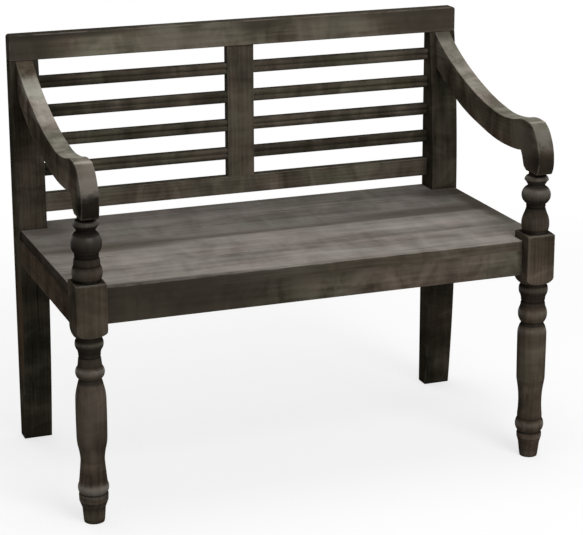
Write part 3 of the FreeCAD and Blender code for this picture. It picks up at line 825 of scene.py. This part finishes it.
armSettings = {
    "width": 34.5 * mm,
    "railRoom": 0.4 * mm,
    "edge": 2.0 * mm,
    "edgeSteps": 2,
    "noseRoom": 0.8 * mm,
    "sharpFrom": 25,            # degrees, so that the crease on the nose shows
    "smoothness": 14,
    "flatWithin": 0.5,          # degrees within which faces are taken as one
    "wornTilt": (0.15, 0.97),   # faces that lean sideways by this much are the rubbed edges
    # shares of the reach from the post to the nose, and of the rise from the spindle to the rail
    "top": [
        (0.0, 1.0), (0.053, 0.911), (0.154, 0.777), (0.255, 0.672), (0.357, 0.585), (0.458, 0.515), (0.56, 0.465),
        (0.659, 0.437), (0.763, 0.452), (0.850, 0.490),
    ],
    "nose": [(0.916, 0.482), (0.946, 0.436), (0.972, 0.360), (0.991, 0.270), (1.0, 0.172), (0.997, 0.055)],
    "heel": [(0.985, 0.0), (0.891, 0.0), (0.869, 0.030), (0.852, 0.130)],
    "under": [
        (0.841, 0.174), (0.800, 0.162), (0.735, 0.155), (0.64, 0.161), (0.555, 0.186), (0.46, 0.230),
        (0.356, 0.285), (0.261, 0.355), (0.148, 0.470), (0.053, 0.585), (-0.018, 0.69),
    ],
    "rearEnd": [(-0.018, 1.0)],
}


def marked(shares, *corners):
    # outline points, each with True where the outline has a corner and False where it runs on smoothly
    return [(share, place in corners) for place, share in enumerate(shares)]


def arm(side, name):
    s = armSettings
    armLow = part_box(name.replace("scrolled_", ""))[0]
    postTopFront = postHigh.y - postSettings["topDepth"]
    spindleTop = legSettings["spindleTop"]
    reach, rise = postTopFront - armLow.y - s["noseRoom"], railLow.z - s["railRoom"] - spindleTop
    points = marked(s["top"], 0) + marked(s["nose"], 0) + marked(s["heel"], *range(len(s["heel"])))
    points += marked(s["under"], 0, len(s["under"]) - 1) + marked(s["rearEnd"], 0)
    flat = bpy.data.curves.new("armOutline", "CURVE")
    flat.dimensions = "2D"
    flat.fill_mode = "BOTH"
    flat.resolution_u = s["smoothness"]
    flat.extrude = s["width"] / 2 - s["edge"]
    flat.bevel_depth = s["edge"]
    flat.bevel_resolution = s["edgeSteps"]
    flat.offset = -s["edge"]
    spline = flat.splines.new("BEZIER")
    spline.bezier_points.add(len(points) - 1)
    spline.use_cyclic_u = True
    for knot, ((along, up), corner) in zip(spline.bezier_points, points):
        knot.co = (postTopFront - along * reach, spindleTop + up * rise, 0)
        knot.handle_left_type = knot.handle_right_type = "VECTOR" if corner else "AUTO"
    outline = bpy.data.objects.new("armOutline", flat)
    bpy.context.scene.collection.objects.link(outline)
    bpy.context.view_layer.update()
    mesh = bpy.data.meshes.new_from_object(outline.evaluated_get(bpy.context.evaluated_depsgraph_get()))
    bpy.data.objects.remove(outline)
    bm = bmesh.new()
    bm.from_mesh(mesh)
    # the flat outline's own X, Y and Z are the bench's Y, Z and X
    stand = Matrix(((0, 0, 1, side * legX), (1, 0, 0, 0), (0, 1, 0, 0), (0, 0, 0, 1)))
    bmesh.ops.transform(bm, matrix=stand, verts=bm.verts)
    bmesh.ops.remove_doubles(bm, verts=bm.verts, dist=2 * hair)
    bmesh.ops.dissolve_limit(bm, angle_limit=math.radians(s["flatWithin"]), verts=bm.verts, edges=bm.edges)
    bmesh.ops.recalc_face_normals(bm, faces=bm.faces)
    worn = bm.faces.layers.float.new("wornEdge")
    least, most = s["wornTilt"]
    for face in bm.faces:
        face[worn] = 1.0 if least < abs(face.normal.x) < most else 0.0
    return finishPiece(bm, name, [name.replace("scrolled_", "")], armWood, sharpFrom=s["sharpFrom"])


arm(-1, "scrolled_arm_left")
arm(1, "scrolled_arm_right")
print("arms shaped")


# ---- seat

seatSettings = {
    "edge": 1.3 * mm,
    "edgeSteps": 3,
    "easedFrom": 60,            # degrees
    "frontEdge": 3.0 * mm,
    "frontSteps": 4,
    "clearance": 1.0 * mm,
    "tones": [1.0, 1.02, 0.68, 0.70],
}


def seatBoard(number):
    s = seatSettings
    node = "seat_board_" + str(number)
    low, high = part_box(node)
    gap = s["clearance"]
    legInner, legRear = legLow.x - gap, legHigh.y + gap
    postInner, postFrontY = postLow.x - gap, postHigh.y - postSettings["seatDepth"] - gap
    # right-hand half of the outline from front to rear, notched where a leg or post stands
    half = []
    if low.y < legRear < high.y:
        half += [(legInner, low.y), (legInner, legRear), (high.x, legRear)]
    else:
        half += [(high.x, low.y)]
    if low.y < postFrontY < high.y:
        half += [(high.x, postFrontY), (postInner, postFrontY), (postInner, high.y)]
    else:
        half += [(high.x, high.y)]
    corners = half + [(-x, y) for x, y in reversed(half)]
    bm = bmesh.new()
    slabFrom(bm, [(x, y, low.z) for x, y in corners], alongZ * (high.z - low.z))

    def above(edge):
        return reachesUpTo(edge, high.z)

    def aboveFront(edge):
        return above(edge) and all(v.co.y < low.y + hair for v in edge.verts)

    if number == 1:
        easeEdges(bm, s["frontEdge"], aboveFront, s["frontSteps"])
    easeEdges(bm, s["edge"], above, s["edgeSteps"], s["easedFrom"])
    return finishPiece(bm, "planed_" + node, [node], seatWood, s["tones"][number - 1])


for number in range(1, 5):
    seatBoard(number)
print("seat laid")


# ---- aprons

apronSettings = {
    "height": 52 * mm,
    "thickness": 22 * mm,
    "edge": 1.5 * mm,
    "bite": 1.0 * mm,
    "frontProud": 1.6 * mm,     # brings the front apron almost flush with the seat's edge
    "rearTone": 0.9,
    "sideTone": 0.95,
}


def aprons():
    s = apronSettings
    top, bottom = seatBottom, seatBottom - s["height"]
    bite = s["bite"]

    def under(axis):
        # the lower edges alone, because the upper ones lie tight under the seat
        along = runsAlong(axis)
        return lambda edge: along(edge) and not reachesUpTo(edge, top)

    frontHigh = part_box("front_apron")[1]
    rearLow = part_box("rear_apron")[0]
    legInner, postInner = legLow.x + bite, postLow.x + bite
    bm = bmesh.new()
    boxBetween(bm, (-legInner, frontHigh.y - s["thickness"] - s["frontProud"], bottom), (legInner, frontHigh.y, top))
    easeEdges(bm, s["edge"], under("X"))
    finishPiece(bm, "sawn_front_apron", ["front_apron"], apronWood)
    bm = bmesh.new()
    boxBetween(bm, (-postInner, rearLow.y, bottom), (postInner, rearLow.y + s["thickness"], top))
    easeEdges(bm, s["edge"], under("X"))
    finishPiece(bm, "sawn_rear_apron", ["rear_apron"], apronWood, s["rearTone"])
    for side, sideName in ((-1, "left"), (1, "right")):
        xs = sorted((side * legHigh.x, side * (legHigh.x - s["thickness"])))
        bm = bmesh.new()
        boxBetween(bm, (xs[0], legHigh.y - bite, bottom), (xs[1], postHigh.y - postSettings["seatDepth"] + bite, top))
        easeEdges(bm, s["edge"], under("Y"))
        node = "side_apron_" + sideName
        finishPiece(bm, "sawn_" + node, [node], sideApronWood, s["sideTone"])


aprons()
print("aprons fitted")


# ---- under the seat: bearers, cleats and braces keep the frame's shape, with eased edges

underSettings = {
    "edge": 1.0 * mm,
    "edgeSteps": 2,
    "flatWithin": 1,            # degrees within which faces are taken as one
    "tones": (0.9, 1.08),
    "screwHead": 4.2 * mm,      # radius
    "screwSides": 20,
    "screwRise": 0.9 * mm,
    "screwProfile": [(0.0, 0.0), (1.0, 0.0), (0.97, 0.45), (0.72, 0.85), (0.0, 1.0)],   # shares of radius and rise
    "slotWidth": 1.0 * mm,
    "slotDepth": 0.5 * mm,
    "slotFrom": 0.4,            # share of the rise above which the slot is cut
    "slotTilt": 0.3,            # how far a face must look up to be cut
    "screwInset": 55 * mm,      # from a bearer's or cleat's end to its first screw
    "screwsPerBearer": 4,
    "screwsPerCleat": 3,
}


def easedCopy(node, name, material):
    s = underSettings
    bm = bmesh.new()
    bm.from_mesh(nodes[node].data)
    bmesh.ops.remove_doubles(bm, verts=bm.verts, dist=hair)
    bmesh.ops.dissolve_limit(bm, angle_limit=math.radians(s["flatWithin"]), verts=bm.verts, edges=bm.edges)
    easeEdges(bm, s["edge"], None, s["edgeSteps"])
    return finishPiece(bm, name, [node], material, picker.uniform(*s["tones"]))


for sideName in ("left", "right"):
    easedCopy("seat_bearer_" + sideName, "eased_seat_bearer_" + sideName, hiddenWood)
    easedCopy("seat_cleat_" + sideName, "eased_seat_cleat_" + sideName, hiddenWood)
    easedCopy("front_corner_brace_" + sideName, "eased_front_brace_" + sideName, hiddenWoodAcross)
    easedCopy("rear_corner_brace_" + sideName, "eased_rear_brace_" + sideName, hiddenWoodAcross)


def screwHead(bm, place, down, along):
    # a domed head with a straight slot, spun round its own axis and stood on the wood it holds
    s = underSettings
    radius, rise = s["screwHead"], s["screwRise"]
    fresh = bmesh.new()
    verts = [fresh.verts.new((radius * out, 0, rise * up)) for out, up in s["screwProfile"]]
    spunRound(fresh, verts, (0, 0, 0), s["screwSides"], speck)
    for way in (-1, 1):
        cutBy(fresh, (0, way * s["slotWidth"] / 2, 0), alongY, mote)
    slot = []
    for face in fresh.faces:
        middle = face.calc_center_median()
        if abs(middle.y) < s["slotWidth"] / 2 and middle.z > rise * s["slotFrom"] and face.normal.z > s["slotTilt"]:
            slot.append(face)
    grown = bmesh.ops.extrude_face_region(fresh, geom=slot)
    bmesh.ops.delete(fresh, geom=slot, context="FACES")
    bmesh.ops.translate(fresh, vec=(0, 0, -s["slotDepth"]), verts=vertsOf(grown))
    side = down.cross(along)
    stand = Matrix((along, side, down)).transposed().to_4x4()
    stand.translation = place
    bmesh.ops.transform(fresh, matrix=stand, verts=fresh.verts)
    bmesh.ops.recalc_face_normals(fresh, faces=fresh.faces)
    mesh = bpy.data.meshes.new("screwHead")
    fresh.to_mesh(mesh)
    fresh.free()
    bm.from_mesh(mesh)
    bpy.data.meshes.remove(mesh)


def seatScrews():
    s = underSettings
    bm = bmesh.new()
    for side in ("left", "right"):
        for kind, count in (("seat_bearer_", s["screwsPerBearer"]), ("seat_cleat_", s["screwsPerCleat"])):
            low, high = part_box(kind + side)
            for index in range(count):
                share = index / (count - 1)
                y = low.y + s["screwInset"] + (high.y - low.y - 2 * s["screwInset"]) * share
                angle = picker.uniform(0, turn)
                slotWay = Vector((math.cos(angle), math.sin(angle), 0))
                screwHead(bm, Vector(((low.x + high.x) / 2, y, low.z)), -alongZ, slotWay)
        # each brace has one screw, in its middle
        for kind in ("front_corner_brace_", "rear_corner_brace_"):
            low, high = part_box(kind + side)
            mesh = nodes[kind + side].data
            middle = sum((v.co for v in mesh.vertices), Vector()) / len(mesh.vertices)
            screwHead(bm, Vector((middle.x, middle.y, low.z)), -alongZ, alongX)
    return finishPiece(bm, "seat_screw_heads", None, screwSteel)


seatScrews()
print("bearers, cleats, braces and screws fitted")


# ---- floor, lamps and camera

stageSettings = {
    "floorSize": 30.0,
    "floorColour": (0.85, 0.85, 0.85, 1),
    "floorBounce": (0.42, 0.42, 0.42, 1),
    "shadowShare": 0.3,
    "whiteFrom": 1.1,
    "whiteTo": 2.2,
    "ambient": 0.46,
    # place, aim, size and power of each lamp
    "lamps": {
        "keyLamp": ((0.75, -3.1, 2.9), (0.0, 0.0, 0.45), 2.2, 108.0),
        "topLamp": ((0.0, 0.2, 3.8), (0.0, 0.0, 0.4), 2.4, 44.0),
        "rearLamp": ((-0.8, 2.8, 2.4), (0.0, 0.0, 0.4), 2.2, 24.0),
    },
}


def seenDirectly(tree):
    # 1 for what the camera sees, also in gloss and through glass
    path = addNode(tree, "LightPath")
    seen = calc(tree, "MAXIMUM", path.outputs["Is Camera Ray"], path.outputs["Is Glossy Ray"])
    return calc(tree, "MAXIMUM", seen, path.outputs["Is Transmission Ray"])


def makeFloor():
    s = stageSettings
    bm = bmesh.new()
    bmesh.ops.create_grid(bm, x_segments=2, y_segments=2, size=s["floorSize"] / 2)
    mesh = bpy.data.meshes.new("paleFloor")
    bm.to_mesh(mesh)
    bm.free()
    floor = bpy.data.objects.new("paleFloor", mesh)
    bpy.context.scene.collection.objects.link(floor)
    material, tree = freshMaterial("paleFloor")
    coords = addNode(tree, "TexCoord")
    distance = vectorCalc(tree, "LENGTH", coords.outputs["Object"]).outputs["Value"]
    shown = seenDirectly(tree)
    matt = addNode(tree, "BsdfDiffuse", {"Color": blendColour(tree, shown, s["floorBounce"], s["floorColour"])})
    white = addNode(tree, "Emission", {"Color": (1, 1, 1, 1), "Strength": 1.0})
    # near the bench the floor still shows its shadow, farther off it is plain white
    share = ramp(tree, distance, s["whiteFrom"], s["whiteTo"], 1 - s["shadowShare"], 1.0)
    share = calc(tree, "MULTIPLY", share, shown)
    mixed = addNode(tree, "MixShader", {0: share, 1: matt.outputs[0], 2: white.outputs[0]})
    addNode(tree, "OutputMaterial", {"Surface": mixed.outputs[0]})
    mesh.materials.append(material)


def makeLamps():
    s = stageSettings
    world = bpy.data.worlds.new("paleRoom")
    world.use_nodes = True
    tree = world.node_tree
    tree.nodes.clear()
    strength = ramp(tree, seenDirectly(tree), 0.0, 1.0, s["ambient"], 1.0, smooth=False)
    light = addNode(tree, "Background", {"Color": (1, 1, 1, 1), "Strength": strength})
    addNode(tree, "OutputWorld", {"Surface": light.outputs[0]})
    bpy.context.scene.world = world
    for name, (place, aim, size, power) in s["lamps"].items():
        lamp = bpy.data.lights.new(name, "AREA")
        lamp.shape = "DISK"
        lamp.size = size
        lamp.energy = power
        holder = bpy.data.objects.new(name, lamp)
        holder.location = place
        holder.rotation_euler = (Vector(aim) - Vector(place)).to_track_quat("-Z", "Y").to_euler()
        bpy.context.scene.collection.objects.link(holder)


cameraSettings = {
    "place": (-1.32076, -3.58276, 1.55056),
    "turnedRight": 20.581,
    "lookingDown": 15.223,
    "roll": -0.13,
    "lens": 121.22,
    "sensor": 36,
    "shift": -0.1,
    "farthest": 60,
}


def makeCamera():
    s = cameraSettings
    lens = bpy.data.cameras.new("frontCamera")
    lens.lens = s["lens"]
    lens.sensor_width = s["sensor"]
    lens.shift_y = s["shift"]
    lens.clip_end = s["farthest"]
    camera = bpy.data.objects.new("frontCamera", lens)
    sideways = Matrix.Rotation(math.radians(-s["turnedRight"]), 4, "Z")
    downward = Matrix.Rotation(math.radians(90 - s["lookingDown"]), 4, "X")
    leaning = Matrix.Rotation(math.radians(s["roll"]), 4, "Z")
    camera.matrix_world = Matrix.Translation(s["place"]) @ sideways @ downward @ leaning
    bpy.context.scene.collection.objects.link(camera)
    bpy.context.scene.camera = camera


makeFloor()
makeLamps()
makeCamera()
bpy.context.scene.view_settings.view_transform = "Standard"
print("floor, lamps and camera set")
